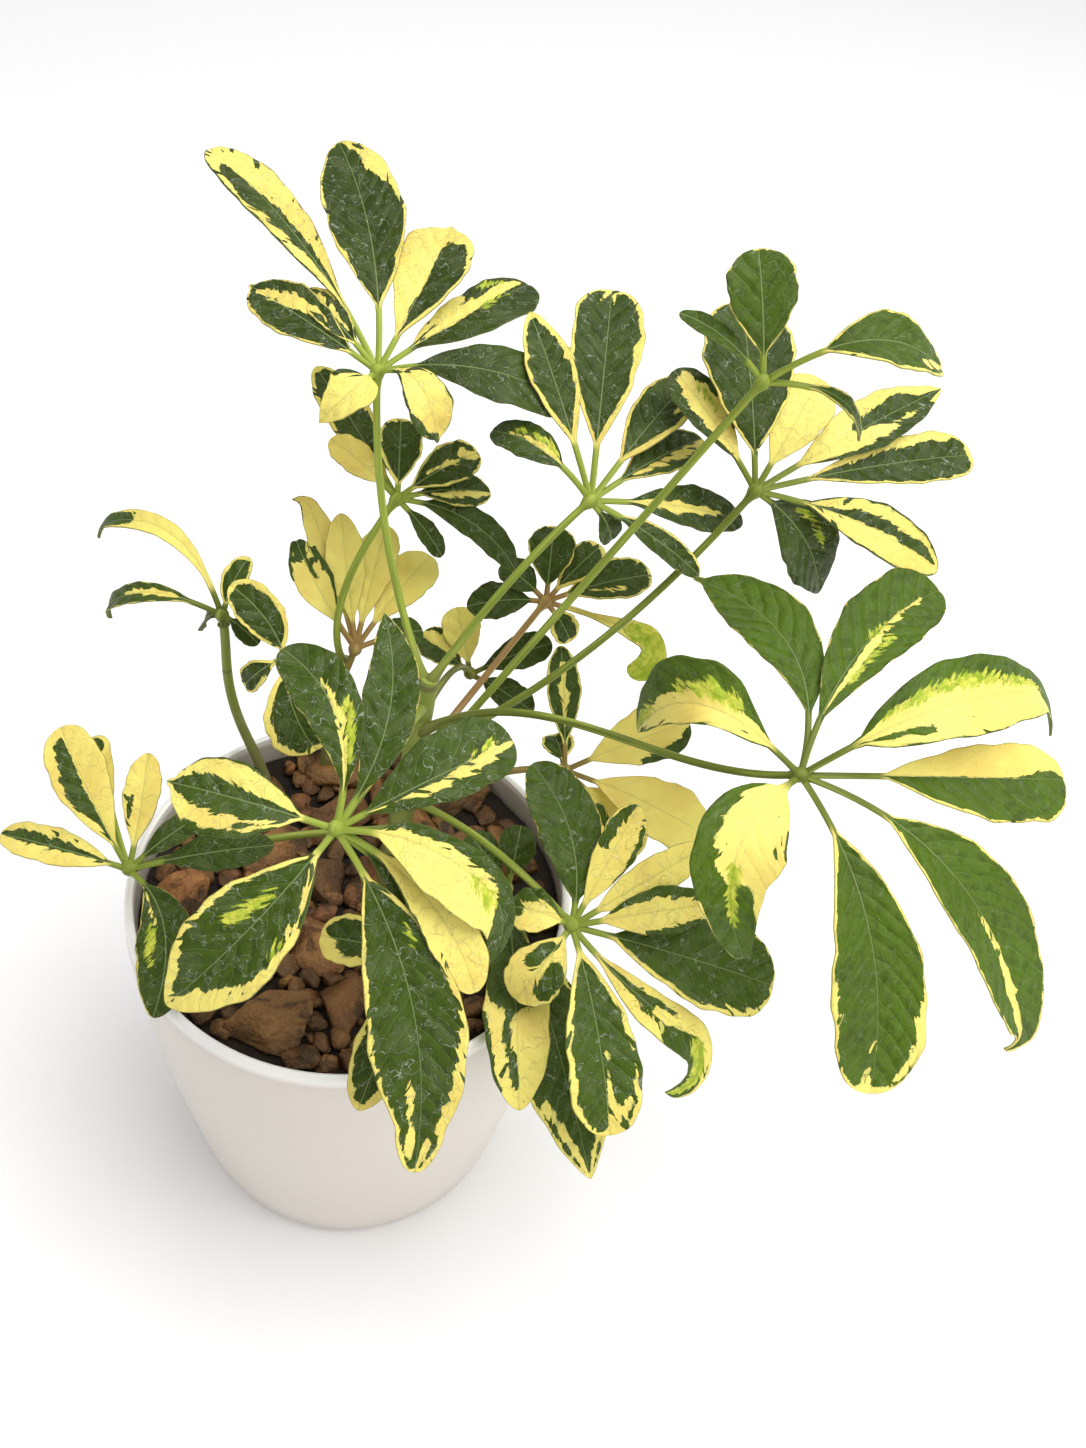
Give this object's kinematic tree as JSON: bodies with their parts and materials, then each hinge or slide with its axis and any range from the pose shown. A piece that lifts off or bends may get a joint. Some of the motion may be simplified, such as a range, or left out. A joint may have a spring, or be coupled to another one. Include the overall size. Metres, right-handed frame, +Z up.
{
  "type": "potted umbrella plant",
  "caption": "Variegated umbrella plant: stems with palmate leaves on long petioles, in a round cream pot with soil and stone mulch.",
  "frame": {"origin": "middle of the pot's foot, on the surface it stands on", "axes": "+Z up along the pot's axis, -Y towards the front of the plant, +X to its right"},
  "size_m": [0.3937, 0.3107, 0.4253],
  "materials": {
    "pot": "satin cream glaze",
    "soil": "dark crumbly potting soil",
    "mulch": "rough angular red-brown stones",
    "stem": "olive green bark",
    "leaf": "glossy variegated leaf, green and cream yellow"
  },
  "bodies": {
    "root": {"pot": "pot", "soil": "soil", "mulch": "mulch", "stem_main": "stem", "stem_second": "stem", "stem_thin": "stem", "leaf_top_left": "leaf", "leaf_top_left_back": "leaf", "leaf_left_thin": "leaf", "leaf_left_middle": "leaf", "leaf_left_low": "leaf", "leaf_back_left": "leaf", "leaf_front": "leaf", "leaf_right_low": "leaf", "leaf_right": "leaf", "leaf_top_middle": "leaf", "leaf_top_right": "leaf", "leaf_top_right_young": "leaf", "leaf_middle_back": "leaf", "leaf_right_back": "leaf", "leaf_inner_back": "leaf", "leaf_inner_front": "leaf", "leaf_inner_right": "leaf"}
  },
  "joints": []
}
